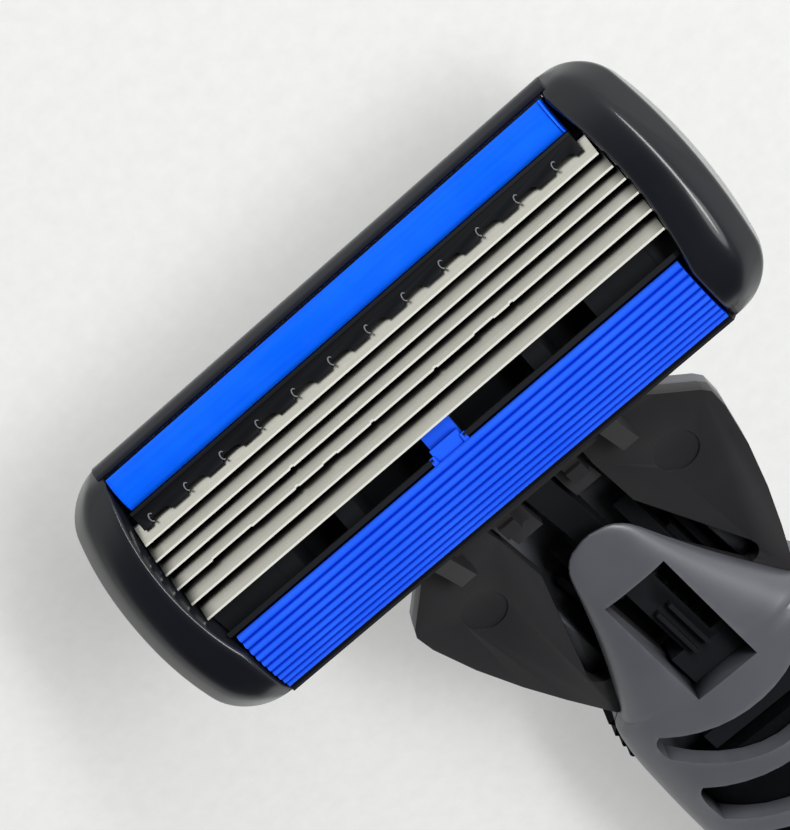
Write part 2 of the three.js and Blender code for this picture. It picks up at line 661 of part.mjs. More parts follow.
// A band between two arcs that sag towards the tail; the first one is slimmer at its ends.
function grooveShape(index) {
  const crest = -21.8 - 5.0 * index;
  const end = index === 0 ? 6.0 : 6.45;
  const rise = 2.4;
  const low = crest - 3.7;
  const side = crest + (index === 0 ? 0.3 : -0.9);
  const shape = new THREE.Shape();
  shape.moveTo(-end, crest + rise - 0.3);
  shape.quadraticCurveTo(0, crest - rise + 0.3, end, crest + rise - 0.3);
  shape.quadraticCurveTo(end + 0.9, crest + rise - 0.6, end + 0.6, side);
  shape.quadraticCurveTo(0, 2 * low - side, -end - 0.6, side);
  shape.quadraticCurveTo(-end - 0.9, crest + rise - 0.6, -end, crest + rise - 0.3);
  return shape;
}

function frontShell() {
  const skin = [...NOSE_YS, ...HANDLE_YS].map(
    (y) => shellRing(y, along(NOSE_HALF, y), frontSplit(y), along(FRONT_Z, y), FRONT_POWER));
  const hollowStart = -20;
  const hollowYs = [hollowStart, ...HANDLE_YS.filter((y) => y < hollowStart && y > SHELL_END), SHELL_END - 1];
  const hollow = hollowYs.map((y) => shellRing(
    y, along(NOSE_HALF, y) - SHELL_WALL, frontSplit(y) - 0.6, along(FRONT_Z, y) - SHELL_WALL, FRONT_POWER));
  let shell = solid(loft(skin)).subtract(solid(loft(hollow)));
  for (let i = 0; i < GROOVES; i += 1) {
    shell = shell.subtract(solid(plate(grooveShape(i), -12, 5, 8)));
  }
  const window = box([-NOSE_WINDOW_HALF, NOSE_WINDOW_HALF], NOSE_WINDOW_Y, [-5, 5]);
  const bay = box([-2.3, 2.3], [-21, -8.4], [-5, 0.35]);
  return geometryOf(shell.subtract(solid(window)).subtract(solid(bay)));
}

function stadium(y0, y1, half) {
  const shape = new THREE.Shape();
  shape.absarc(0, y0 + half, half, Math.PI, 2 * Math.PI, false);
  shape.absarc(0, y1 - half, half, 0, Math.PI, false);
  return shape;
}

function backShell() {
  const ys = [0.3, -8, -14, -18.0, ...HANDLE_YS];
  const skin = ys.map(
    (y) => shellRing(y, along(BACK_HALF, y), backSplit(y), along(BACK_Z, y), BACK_POWER));
  const hollow = [1, ...ys.slice(1, -1), SHELL_END - 1].map((y) => shellRing(
    y, along(BACK_HALF, y) - SHELL_WALL, backSplit(y) + 1.5, along(CAVITY_Z, y), BACK_POWER));
  const [g0, g1] = GRIP_Y;
  const pocket = plate(stadium(g0 - 0.1, g1 + 0.1, GRIP_HALF + 0.1), -12, GRIP_TOP + 0.1, 6);
  const track = box([-BUTTON_HALF - 0.3, BUTTON_HALF + 0.3], [BUTTON_Y[0] - 0.5, BUTTON_Y[1] + 4.2],
    [-12, TRACK_FLOOR]);
  const slot = box([-2.5, 2.5], [-22.5, -13.6], [-12, 0]);
  const cuts = [loft(hollow), pocket, track, slot, ...sideGripShapes(0.1)];
  return geometryOf(cuts.reduce((sum, cut) => sum.subtract(solid(cut)), solid(loft(skin))));
}

// Small rubber pads let into both sides of the neck, each with two bumps; grow widens the pocket.
function sideGripShapes(grow) {
  const [y0, y1] = SIDE_GRIP_Y;
  const height = (y) => (y > BUMP_END ? BUMP_HEIGHT * Math.cos(Math.PI * (y - BUMP_Y)) ** 2 : 0);
  return [-1, 1].map((side) => {
    const ys = linspace(y0 - grow, y1 + grow, 22);
    const outer = ys.map((y) => [side * (along(BACK_HALF, y) + (grow > 0 ? 1 : height(y))), y]);
    const inner = ys.filter((y, i) => i % 7 === 0).map((y) => [side * (along(BACK_HALF, y) - 0.7 - grow), y]);
    return plate(outline([...outer, ...inner.reverse()]), SIDE_GRIP_Z[0] - grow, SIDE_GRIP_Z[1] + grow);
  });
}

function fingerInsert() {
  const ys = [-24.6, -27, -30, -34, -38, -42, -44.5];
  const core = loft(ys.map((y) => shellRing(y, along(NOSE_HALF, y) - SHELL_WALL - 0.3, frontSplit(y) - 0.6,
    along(FRONT_Z, y) - SHELL_WALL - 0.2, FRONT_POWER)));
  return geometryOf(solid(core).intersect(solid(box([-10, 10], [-50, -20], [-1.2, 5]))));
}

// Frame: a long spine, rails beside the ejector, and a deck that ends in the spring's seat.
function chassis() {
  const stations = [[-29.6, 5.2, -5.0], [-33, 6.0, -6.6], [-44, 5.8, -7.5], [-60, 4.8, -7.6],
    [-82, 3.7, -7.6], [-105, 3.9, -7.4]];
  const spine = loft(stations.map(([y, half, low]) => shellRing(y, half, CORE_Z, low, 2.6)));
  const sides = [[-4.3, -3.8], [3.8, 4.3]];
  const rails = sides.map((xs) => box(xs, [-31, -9], [-3.95, -3.35]));
  const posts = sides.map((xs) => box(xs, [-31, -20], [-3.95, -2.9]));
  const wall = box([-4.3, 4.3], [-24.0, -22.6], [-3.2, 0.25]);
  const deck = box([-2.1, 2.1], [-24.0, SPRING_SEAT - 0.6], [-0.05, 0.25]);
  const seat = box([-2.1, 2.1], [SPRING_SEAT - 0.6, SPRING_SEAT], [-1.9, 0.25]);
  const tongue = box([-1.05, 1.05], [SPRING_SEAT - 0.1, TONGUE_TIP], [-0.05, 0.25]);
  const ribs = [-0.475, 0.475].map((x) => box([x - 0.15, x + 0.15], [-17, -12.9], [-0.04, 0.8]));
  return geometryOf(union(...[spine, ...rails, ...posts, wall, deck, seat, tongue, ...ribs].map(solid)));
}

// Ridged rubber pad along the back, standing slightly proud: the razor lies on it.
function backGrip() {
  const [y0, y1] = GRIP_Y;
  let pad = solid(plate(stadium(y0, y1, GRIP_HALF), GRIP_BOTTOM, GRIP_TOP, 6));
  for (let y = y0 + 6; y < y1 - 4; y += GRIP_GROOVE_PITCH) {
    pad = pad.subtract(solid(box([-6, 6], [y - 0.5, y + 0.5], [GRIP_BOTTOM - 1, GRIP_BOTTOM + 0.35])));
  }
  return geometryOf(pad);
}

// Rounded end of the handle, with a spigot that plugs into the shells.
function tailCap() {
  const start = SHELL_END - PARTING_GAP;
  const half = along(NOSE_HALF, start);
  const split = along(SPLIT_Z, start);
  const rings = linspace(0, 0.47 * Math.PI, 8).map((angle) => {
    const shrink = Math.cos(angle) ** 0.7;
    const y = start + (HANDLE_TAIL - start) * Math.sin(angle);
    const towards = (stations) => split + (along(stations, start) - split) * shrink;
    const upper = shellRing(y, half * shrink, split, towards(FRONT_Z), FRONT_POWER);
    const lower = shellRing(y, half * shrink, split, towards(BACK_Z), BACK_POWER);
    return [...upper, ...lower.reverse().slice(1, -1)];
  });
  const spigot = box([-4.5, 4.5], [start - 1, SHELL_END + 3], [-6.2, -2.2]);
  return geometryOf(union(solid(loft(rings)), solid(spigot)));
}

// ---- Assembly ----

function handle() {
  const group = new THREE.Group();
  group.add(named('wing_plate', wingPlate(), WING_PLASTIC));
  group.add(named('wing_backing', wingBacking(), HANDLE_PLASTIC));
  group.add(named('front_shell', frontShell(), HANDLE_PLASTIC));
  group.add(named('back_shell', backShell(), HANDLE_PLASTIC));
  group.add(named('finger_insert', fingerInsert(), BLACK_RUBBER));
  group.add(named('back_grip', backGrip(), BLACK_RUBBER));
  group.add(named('chassis', chassis(), DARK_PLASTIC));
  group.add(named('tail_cap', tailCap(), HANDLE_PLASTIC));
  const [left, right] = sideGripShapes(0);
  group.add(named('side_grip_left', left, BLACK_RUBBER));
  group.add(named('side_grip_right', right, BLACK_RUBBER));
  return group;
}

function mechanism() {
  const group = new THREE.Group();
  group.add(named('connector_yoke', connectorYoke(), WING_PLASTIC));
  group.add(named('pivot_plunger', plunger(), DARK_PLASTIC));
  group.add(named('ejector', ejector(), DARK_PLASTIC));
  group.add(named('release_button', releaseButton(), BLACK_RUBBER));
  const plungerCoil = spring(0.85, 0.18, 4, PLUNGER_TAIL - SPRING_SEAT - 2 * SEAT_GAP);
  const plungerSpring = named('plunger_spring', plungerCoil, SPRING_STEEL);
  plungerSpring.position.set(0, SPRING_SEAT + SEAT_GAP, SPRING_Z);
  const buttonCoil = spring(0.8, 0.15, 6, BUTTON_SPRING_LENGTH);
  const buttonSpring = named('button_spring', buttonCoil, SPRING_STEEL);
  const buttonSpringZ = (EJECTOR_Z[0] + EJECTOR_Z[1]) / 2;
  buttonSpring.position.set(0, EJECTOR_TAIL - SEAT_GAP - BUTTON_SPRING_LENGTH, buttonSpringZ);
  group.add(plungerSpring, buttonSpring);
  return group;
}

// The whole razor, moved so that its box stands centred on the origin, resting on Z = 0.
const razor = new THREE.Group();
razor.add(cartridge(), mechanism(), handle());
const bounds = new THREE.Box3().setFromObject(razor, true);
const middle = bounds.getCenter(new THREE.Vector3());
razor.position.set(0, -middle.y, -bounds.min.z);

export default razor;
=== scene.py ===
"""Looks of a six-blade cartridge razor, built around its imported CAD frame.

Shapes are drawn in millimetres in two frames of the CAD model and placed by a matrix:
HANDLE has its origin at the root of the head, and FACE lies in the shaving face, with
x along the blades, y from the guard to the cap and z out of the face.
"""

import json
import math

import bmesh
import bpy
from mathutils import Matrix, Vector

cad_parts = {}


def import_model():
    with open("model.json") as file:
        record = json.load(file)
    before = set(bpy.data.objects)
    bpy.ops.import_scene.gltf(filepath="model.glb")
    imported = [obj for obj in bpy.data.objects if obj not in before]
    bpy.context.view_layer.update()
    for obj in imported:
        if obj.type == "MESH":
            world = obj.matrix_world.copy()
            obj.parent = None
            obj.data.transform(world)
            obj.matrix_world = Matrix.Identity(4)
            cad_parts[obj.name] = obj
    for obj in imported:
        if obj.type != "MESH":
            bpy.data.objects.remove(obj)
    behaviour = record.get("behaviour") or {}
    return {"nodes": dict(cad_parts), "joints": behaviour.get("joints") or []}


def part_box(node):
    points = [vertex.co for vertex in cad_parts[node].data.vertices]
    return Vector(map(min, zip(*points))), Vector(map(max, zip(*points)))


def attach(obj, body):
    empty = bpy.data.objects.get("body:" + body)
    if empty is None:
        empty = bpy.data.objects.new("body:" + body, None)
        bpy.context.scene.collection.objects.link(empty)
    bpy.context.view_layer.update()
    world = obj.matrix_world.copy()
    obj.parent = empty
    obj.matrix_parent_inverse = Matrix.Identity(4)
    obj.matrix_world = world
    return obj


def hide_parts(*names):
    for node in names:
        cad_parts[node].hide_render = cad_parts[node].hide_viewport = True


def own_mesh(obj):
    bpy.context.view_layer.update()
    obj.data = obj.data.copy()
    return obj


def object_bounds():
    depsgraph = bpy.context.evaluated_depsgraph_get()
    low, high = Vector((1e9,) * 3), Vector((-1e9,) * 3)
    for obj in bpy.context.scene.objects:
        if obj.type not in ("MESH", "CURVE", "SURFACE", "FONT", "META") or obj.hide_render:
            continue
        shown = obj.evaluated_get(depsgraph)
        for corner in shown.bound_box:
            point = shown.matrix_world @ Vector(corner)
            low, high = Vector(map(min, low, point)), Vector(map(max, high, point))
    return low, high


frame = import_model()
CAD_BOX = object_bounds()
NODES = frame["nodes"]
JOINTS = {joint["name"]: joint for joint in frame["joints"]}
MM = 0.001

# ---- The CAD model's own frames ----
TILT = math.radians(28)
PIVOT_Y, PIVOT_Z = 4.2, 3.6
FACE_Y, FACE_Z = 13.31, 6.29
PIVOT = Vector(JOINTS["cartridge_pivot"]["pos_m"])
HANDLE = Matrix.Translation(PIVOT - MM * Vector((0, PIVOT_Y, PIVOT_Z))) @ Matrix.Scale(MM, 4)
FACE = HANDLE @ Matrix.Translation((0, FACE_Y, FACE_Z)) @ Matrix.Rotation(-TILT, 4, "X")

# ---- Cartridge, in the face frame ----
CAP_Y = (-8.9, 8.2)
CAP_HALF_WIDTH = 20.9
CAP_BARREL = 0.016
CAP_CORNER_R = 2.6
OPENING_HALF_WIDTH = 17.4
OPENING_BARREL = 0.022
OPENING_MIN = 16.6
CAP_BACK = -6.6
RIM_WIDTH, RIM_DROP = 1.25, 1.5           # sloped band along the outer edge
END_WIDTH, END_DROP = 0.8, 1.1           # the same band across the top and bottom
RIM_CREST = 0.36                         # softness of the crest, as a share of the band
TOP_BAR_Y = 7.28
TOP_BAR_R = 0.8
CAP_LIP = 0.3                            # round of the cap along the opening
CAP_END_ZONE = 1.4                       # sections lie closer together this near to each end
CAP_STEPS = 54
CREST_Y, CREST_Z, CREST_FALL = -0.8, 1.0, 1.9      # highest line of the caps, and the drop from it
CREST_REACH = (7.4, 8.2)                 # from the crest to the guard side and to the cap side
BACK_MIDDLE, BACK_REACH, BACK_RISE = -0.5, 8.6, 2.2

BLADE_EDGES = (2.72, 1.66, 0.70, -0.33, -1.50, -2.72)
BLADE_THICK = 0.12
BLADE_TIP = 1.5
BLADE_RAKE = math.radians(25)
BLADE_FOOT = -3.9
BLADE_BEVEL = 0.45
EDGE_BAND = 0.13                         # facet along each edge; a band twice as wide is painted with a highlight colour
NICK_DEPTH = 0.06
NICKS = {3: ((-7.6, -7.4),),             # blade: (from, to) along x
         4: ((-14.5, -11.5), (-8.1, -7.9), (-6.0, -5.0), (-2.4, -2.2), (2.3, 2.5), (5.3, 6.7), (7.9, 8.1))}
FIT_GAP = 0.12

GUARD_R = 6.0
GUARD_Y, GUARD_Z = -4.45, -5.85
GUARD_ARC = 0.8
GUARD_RUBBER = 0.85
GUARD_HALF_WIDTH = 16.4
FIN_COUNT = 10
FIN_HEIGHT = 0.22
FIN_STEPS = 10
FIN_DRIFT = 0.035                        # the fins lie closer together towards the bottom
TAB_HALF_WIDTH = 1.0
TAB_Y, TAB_Z = (-4.6, -2.55), (-1.05, -0.75)
RISER_Y, RISER_Z = (-4.6, -3.6), (-1.06, -0.2)      # joins the tab to the fins
NUB_Y, NUB_Z = (-4.5, -3.95), (-0.5, -0.1)          # small bumps beside the riser

STRIP_Y = (4.84, 7.1)
STRIP_HALF_WIDTH = 16.4
STRIP_TOP = -0.15
COMB_TIP_Y = 3.47
COMB_PITCH = 2.76
COMB_FIRST_X = 0.02
COMB_TEETH = 11
SCALLOP_WIDTH = 1.5
SCALLOP_DEPTH = 0.33
COMB_Z = (-0.3, -0.1)
HOOK_R, HOOK_WIDTH, HOOK_RISE = 0.29, 0.07, 0.07    # small raised hook beside each scallop
HOOK_NARROW = 0.62
HOOK_SHIFT = -0.45
HOOK_ROOT = 0.08                         # how far a hook reaches into the comb
TRAY_BOTTOM, TRAY_TOP = -1.7, -1.25
TRAY_LIP_TOP = 0.04

# ---- Handle: (y, value) stations towards the tail ----
FAN_SLOPE, FAN_Z0, PLATE_GAP = 0.14, 1.5, 0.08
SHELL_END = -116
SHELL_WALL = 1.3
PARTING_GAP = 0.1
NECK_Y = -18.1
NECK_HALF = [(-18.0, 7.2), (-18.6, 7.9), (-19.6, 8.3), (-22.5, 8.75), (-30, 9.2), (-37, 9.1), (-50, 8.3),
             (-66, 7.2), (-82, 6.6), (-98, 6.8), (-116, 7.6)]
NOSE_HALF = [(-5.2, 0.3), (-5.5, 1.35), (-6.2, 2.15), (-6.9, 2.55), (-9.2, 3.35), (-12.3, 4.5),
             (-16.2, 6.2), (-18.0, 7.1), *NECK_HALF[1:]]
FRONT_Z = [(-5.2, 1.0), (-10, 1.5), (-20, 2.0), (-31, 2.4), (-45, 1.9), (-62, 0.7), (-82, -0.3),
           (-100, 0.1), (-116, 0.9)]
SPLIT_Z = [(0, -1.2), (-20, -1.6), (-45, -2.6), (-70, -4.0), (-116, -4.0)]
FRONT_POWER = 2.8
GROOVES = 4
GROOVE_FIRST_Y, GROOVE_PITCH, GROOVE_DROP = -21.8, 5.0, 3.7
GROOVE_Z = (-12, 5)
BAY_X, BAY_Y, BAY_Z = (-2.3, 2.3), (-21, -8.4), (-5, 0.35)
WINDOW_Z = (-5, 5)
NOSE_WINDOW_X, NOSE_WINDOW_Y = (-2.35, 2.35), (-18.95, -9.75)

SPRING_WIRE_R = 0.26
SPRING_TURNS, SPRING_STEPS, SPRING_SIDES = 6, 28, 12    # steps are per turn

# ---- Camera, over the shaving face ----
VIEW_SIDE = math.radians(12.17)          # turned towards the right end of the blades
VIEW_ROLL = math.radians(40.74)
VIEW_DISTANCE = 166.5
VIEW_OFFSET = (-0.26, -1.28)             # right and up
SENSOR, LENS = 36.0, 130.1

FLOOR_HALF = 3.0                         # metres
WELD = 0.002 * MM                        # corners closer than this are one corner
FLAT = math.radians(0.5)                 # faces that meet at less than this are one flat area


# ---- Small helpers ----

def linspace(start, end, count):
    return [start + (end - start) * i / (count - 1) for i in range(count)]


def along(stations, y):
    """Smooth value at y from (y, value) stations that run towards the tail."""
    last = len(stations) - 1
    if y >= stations[0][0]:
        return stations[0][1]
    if y <= stations[last][0]:
        return stations[last][1]
    i = next(k for k, station in enumerate(stations) if station[0] < y) - 1

    def slope(k):
        a, b = stations[max(k - 1, 0)], stations[min(k + 1, last)]
        return (b[1] - a[1]) / (b[0] - a[0])

    (y0, v0), (y1, v1) = stations[i], stations[i + 1]
    span = y1 - y0
    t = (y - y0) / span
    held = (1 + 2 * t) * (1 - t) ** 2 * v0 + t * t * (3 - 2 * t) * v1
    return held + span * t * (1 - t) ** 2 * slope(i) - span * t * t * (1 - t) * slope(i + 1)


def loft(rings):
    """Closed skin through rings of equal length: (points, faces)."""
    count = len(rings[0])
    points = [p for ring in rings for p in ring]
    faces = [tuple(reversed(range(count))), tuple(range(len(points) - count, len(points)))]
    for start in range(0, len(points) - count, count):
        for i in range(count):
            after = (i + 1) % count
            faces.append((start + i, start + after, start + count + after, start + count + i))
    return points, faces


def bar(section, xs):
    """A (y, z) section carried along x through the stations xs."""
    return loft([[(x, y, z) for y, z in section] for x in xs])


def prism(outline, z0, z1):
    """An (x, y) outline carried from z0 to z1."""
    return loft([[(x, y, z) for x, y in outline] for z in (z0, z1)])


def box(x, y, z):
    return prism([(x[0], y[0]), (x[1], y[0]), (x[1], y[1]), (x[0], y[1])], *z)


def arc(u, v, radius, start, end, count):
    """Points on a circle's arc, both ends included."""
    return [(u + radius * math.cos(a), v + radius * math.sin(a)) for a in linspace(start, end, count)]


def raw(name, shape, place):
    """A mesh object with its faces turned outwards, from (points, faces) in millimetres."""
    points, faces = shape
    mesh = bpy.data.meshes.new(name)
    mesh.from_pydata([place @ Vector(p) for p in points], [], faces)
    tidy = bmesh.new()
    tidy.from_mesh(mesh)
    bmesh.ops.recalc_face_normals(tidy, faces=tidy.faces)
    tidy.to_mesh(mesh)
    tidy.free()
    obj = bpy.data.objects.new(name, mesh)
    bpy.context.scene.collection.objects.link(obj)
    return obj


def combine(obj, tools, operation):
    """Joins or cuts obj with tool objects, which are used up."""
    for tool in tools:
        step = obj.modifiers.new(operation.lower(), "BOOLEAN")
        step.operation = operation
        step.solver = "MANIFOLD"
        step.object = tool
    settle(obj)
    for tool in tools:
        bpy.data.objects.remove(tool)
    return obj


def settle(obj):
    """Turns obj's modifiers into its mesh."""
    evaluated = obj.evaluated_get(bpy.context.evaluated_depsgraph_get())
    mesh = bpy.data.meshes.new_from_object(evaluated)
    obj.modifiers.clear()
    obj.data = mesh


def copy_of(node, name):
    """A new object with a CAD node's shape, its shared corners joined and flat areas made one face."""
    mesh = NODES[node].data.copy()
    mesh.materials.clear()
    obj = bpy.data.objects.new(name, mesh)
    bpy.context.scene.collection.objects.link(obj)
    tidy = bmesh.new()
    tidy.from_mesh(mesh)
    bmesh.ops.remove_doubles(tidy, verts=tidy.verts, dist=WELD)
    bmesh.ops.dissolve_limit(tidy, angle_limit=FLAT, verts=tidy.verts, edges=tidy.edges)
    tidy.to_mesh(mesh)
    tidy.free()
    return obj


def rounded(obj, width, segments=3, angle=35):
    """Rounds the sharp edges, width in millimetres."""
    step = obj.modifiers.new("rounded_edges", "BEVEL")
    step.width = width * MM
    step.segments = segments
    step.limit_method = "ANGLE"
    step.angle_limit = math.radians(angle)
    step.miter_outer = "MITER_ARC"
    settle(obj)
    return obj


def mark(obj, name, test):
    """Face attribute: 1 where test passes for the middle of a face, in the face frame."""
    inside = FACE.inverted()
    layer = obj.data.attributes.new(name, "FLOAT", "FACE")
    for face, item in zip(obj.data.polygons, layer.data):
        item.value = float(test(inside @ face.center))


def shown(obj, body, slot, stands_for, smooth=32):
    """Finishes a new piece: smooth shading, the material that slot names, its body, and hiding the CAD nodes
    it stands for.
    """
    mesh = obj.data
    mesh.shade_smooth()
    mesh.set_sharp_from_angle(angle=math.radians(smooth))
    mesh.materials.clear()
    mesh.materials.append(MATERIALS[slot])
    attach(obj, body)
    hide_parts(*stands_for)


# ---- Materials ----

class Nodes:
    """A material's node tree, with short calls for the nodes that the materials share."""

    def __init__(self, name):
        self.material = bpy.data.materials.new(name)
        self.material.use_nodes = True
        self.tree = self.material.node_tree
        self.shader = self.tree.nodes["Principled BSDF"]
        self.place = self.tree.nodes.new("ShaderNodeTexCoord").outputs["Object"]

    def set(self, **values):
        for key, value in values.items():
            self.shader.inputs[key.replace("_", " ")].default_value = value

    def link(self, output, socket):
        target = self.shader.inputs[socket] if isinstance(socket, str) else socket
        self.tree.links.new(output, target)

    def stretched(self, scale):
        """Object coordinates scaled by (x, y, z), per metre."""
        node = self.tree.nodes.new("ShaderNodeMapping")
        node.inputs["Scale"].default_value = scale
        self.link(self.place, node.inputs["Vector"])
        return node.outputs["Vector"]

    def noise(self, scale, detail=3.0, roughness=0.5, vector=None):
        node = self.tree.nodes.new("ShaderNodeTexNoise")
        node.inputs["Scale"].default_value = scale
        node.inputs["Detail"].default_value = detail
        node.inputs["Roughness"].default_value = roughness
        self.link(vector or self.place, node.inputs["Vector"])
        return node.outputs["Fac"]

    def between(self, factor, low, high, start=0.3, end=0.7):
        """Maps factor's range start..end to low..high."""
        node = self.tree.nodes.new("ShaderNodeMapRange")
        for key, value in {"From Min": start, "From Max": end, "To Min": low, "To Max": high}.items():
            node.inputs[key].default_value = value
        self.link(factor, node.inputs["Value"])
        return node.outputs["Result"]

    def mix(self, factor, first, second):
        """Colour mix; first and second are colours or outputs."""
        node = self.tree.nodes.new("ShaderNodeMix")
        node.data_type = "RGBA"
        self.link(factor, node.inputs["Factor"])
        for value, socket in ((first, node.inputs[6]), (second, node.inputs[7])):
            if isinstance(value, tuple):
                socket.default_value = (*value, 1)
            else:
                self.link(value, socket)
        return node.outputs[2]

    def bump(self, height, strength, distance, normal=None):
        node = self.tree.nodes.new("ShaderNodeBump")
        node.inputs["Strength"].default_value = strength
        node.inputs["Distance"].default_value = distance
        self.link(height, node.inputs["Height"])
        if normal:
            self.link(normal, node.inputs["Normal"])
        return node.outputs["Normal"]

    def marked(self, name):
        node = self.tree.nodes.new("ShaderNodeAttribute")
        node.attribute_name = name
        return node.outputs["Fac"]

    def open_to_light(self, distance, low, high):
        """Ambient occlusion within distance in metres: near 0 in creases, 1 in the open."""
        node = self.tree.nodes.new("ShaderNodeAmbientOcclusion")
        node.samples = 16
        node.inputs["Distance"].default_value = distance
        return self.between(node.outputs["AO"], 0.0, 1.0, low, high)

    def edges(self):
        """1 on outer edges and corners, 0 elsewhere."""
        node = self.tree.nodes.new("ShaderNodeNewGeometry")
        return self.between(node.outputs["Pointiness"], 0.0, 1.0, 0.51, 0.56)


# light grey painted on the comb's hooks as a highlight
HOOK_HIGHLIGHT_GREY = (0.19, 0.20, 0.22)
# colour of the painted shade in creases and recesses
PAINTED_SHADE_COLOUR = (0.002, 0.002, 0.003)


def moulded(name, colour, worn, roughness, grain=0.15, shade_reach=None):
    """Moulded plastic: fine die texture, slow gloss changes, lighter worn edges, a light grey painted
    highlight on marked faces, and painted shade that darkens creases and dulls their reflection.
    """
    made = Nodes(name)
    fine = made.noise(9000, 4, 0.6)
    slow = made.noise(160, 3, 0.5)
    tone = made.mix(made.between(slow, 0.0, 0.45), colour, tuple(1.35 * c for c in colour))
    edge = made.edges()
    skin = made.mix(made.between(edge, 0.0, 0.5, 0.0, 1.0), tone, worn)
    # painted highlight: marked faces take a light grey
    skin = made.mix(made.marked("painted_highlight"), skin, HOOK_HIGHLIGHT_GREY)
    # painted shade: if asked for, creases and recesses darken to near black and lose most of their
    # reflection, by ambient occlusion
    if shade_reach:
        clear = made.open_to_light(shade_reach, 0.35, 0.8)
        skin = made.mix(clear, PAINTED_SHADE_COLOUR, skin)
        made.link(made.between(clear, 0.05, 0.85, 0.0, 1.0), "Specular IOR Level")
    made.link(skin, "Base Color")
    made.link(made.between(slow, roughness * 0.88, roughness * 1.15), "Roughness")
    made.link(made.bump(fine, grain, 0.00002), "Normal")
    made.set(IOR=1.46)
    return made


def satin_black():
    made = moulded("satin_black", (0.0056, 0.0062, 0.0092), (0.018, 0.020, 0.026), 0.32)
    made.set(Specular_IOR_Level=0.18, Coat_Weight=0.6, Coat_Roughness=0.12)
    return made.material


def dark_plastic():
    made = moulded("dark_plastic", (0.0042, 0.0046, 0.0062), (0.016, 0.017, 0.020), 0.6)
    made.set(Specular_IOR_Level=0.13)
    return made.material


def wing_plastic():
    made = moulded("wing_plastic", (0.0135, 0.0130, 0.0146), (0.035, 0.032, 0.034), 0.42, 0.3)
    made.set(Specular_IOR_Level=0.34)
    return made.material


def handle_plastic():
    # the last argument gives painted shade in creases and recesses within 2.2 mm
    made = moulded("handle_plastic", (0.076, 0.080, 0.094), (0.13, 0.135, 0.15), 0.44, 0.22, 0.0022)
    made.set(Coat_Weight=0.12, Coat_Roughness=0.28)
    return made.material


def black_rubber():
    """Matt rubber with a stippled skin and a trace of dust in patches."""
    made = Nodes("black_rubber")
    stipple = made.tree.nodes.new("ShaderNodeTexVoronoi")
    stipple.inputs["Scale"].default_value = 3500
    made.link(made.place, stipple.inputs["Vector"])
    dust = made.noise(300, 5, 0.7)
    made.link(made.mix(made.between(dust, 0.0, 1.0, 0.5, 0.8), (0.0022, 0.0025, 0.0036),
                       (0.006, 0.0062, 0.0075)), "Base Color")
    made.link(made.between(dust, 0.62, 0.85), "Roughness")
    made.link(made.bump(stipple.outputs["Distance"], 0.35, 0.00004), "Normal")
    made.set(Specular_IOR_Level=0.1)
    return made.material


def blue_rubber():
    """Soft blue elastomer of the guard: painted shade darkens the grooves between the fins, faint skin
    texture.
    """
    made = Nodes("blue_rubber")
    skin = made.noise(5200, 4, 0.6)
    slow = made.noise(220, 3, 0.5)
    tone = made.mix(made.between(slow, 0.0, 1.0), (0.012, 0.105, 0.90), (0.018, 0.130, 1.0))
    # painted shade: the grooves between the fins darken to deep blue by ambient occlusion
    made.link(made.mix(made.open_to_light(0.0004, 0.55, 0.88), (0.0, 0.036, 0.60), tone), "Base Color")
    made.link(made.between(slow, 0.42, 0.56), "Roughness")
    made.link(made.bump(skin, 0.2, 0.00002), "Normal")
    made.set(Specular_IOR_Level=0.16)
    return made.material


def blue_strip():
    """Waxy water-soluble strip: drawn streaks along its length and a soft bloom."""
    made = Nodes("blue_strip")
    streaks = made.noise(1, 4, 0.55, made.stretched((130, 3200, 3200)))
    pores = made.noise(7000, 4, 0.65)
    bloom = made.noise(180, 4, 0.55)
    tone = made.mix(made.between(streaks, 0.0, 1.0), (0.0, 0.100, 0.90), (0.0, 0.132, 1.0))
    made.link(made.mix(made.between(bloom, 0.0, 0.3, 0.45, 0.75), tone, (0.006, 0.18, 1.0)), "Base Color")
    made.link(made.between(bloom, 0.38, 0.55), "Roughness")
    drawn = made.bump(streaks, 0.22, 0.00003)
    made.link(made.bump(pores, 0.18, 0.00002, drawn), "Normal")
    made.set(Specular_IOR_Level=0.15)
    return made.material


def blade_steel():
    """Stainless strip: fine grinding lines along x, slight warm cast, faint wipe marks, painted shade where a
    blade lies under the one above, and a painted highlight colour along each edge.
    """
    made = Nodes("blade_steel")
    lines = made.noise(1, 5, 0.65, made.stretched((260, 26000, 26000)))
    wipes = made.noise(1, 3, 0.5, made.stretched((420, 900, 900)))
    tone = made.mix(made.between(lines, 0.0, 1.0), (0.60, 0.595, 0.52), (0.74, 0.735, 0.655))
    wiped = made.mix(made.between(wipes, 0.0, 0.35, 0.5, 0.75), tone, (0.80, 0.79, 0.72))
    # painted shade: blades that lie under another blade darken to near black where ambient occlusion is low
    shaded = made.mix(made.open_to_light(0.0011, 0.45, 1.06), (0.008, 0.008, 0.007), wiped)
    shade_under_blade = made.mix(made.marked("shade_under_blade"), wiped, shaded)
    # painted highlight: a near-white colour along each edge
    made.link(made.mix(made.marked("edge_highlight"), shade_under_blade, (0.98, 0.98, 0.90)), "Base Color")
    made.link(made.between(wipes, 0.24, 0.34), "Roughness")
    made.link(made.bump(lines, 0.12, 0.00001), "Normal")
    made.set(Metallic=1.0)
    return made.material


def spring_steel():
    made = Nodes("spring_steel")
    drawn = made.noise(2600, 4, 0.6)
    made.link(made.mix(made.between(drawn, 0.0, 1.0), (0.36, 0.36, 0.37), (0.55, 0.55, 0.56)), "Base Color")
    made.link(made.between(drawn, 0.24, 0.42), "Roughness")
    made.link(made.bump(drawn, 0.1, 0.00001), "Normal")
    made.set(Metallic=1.0)
    return made.material


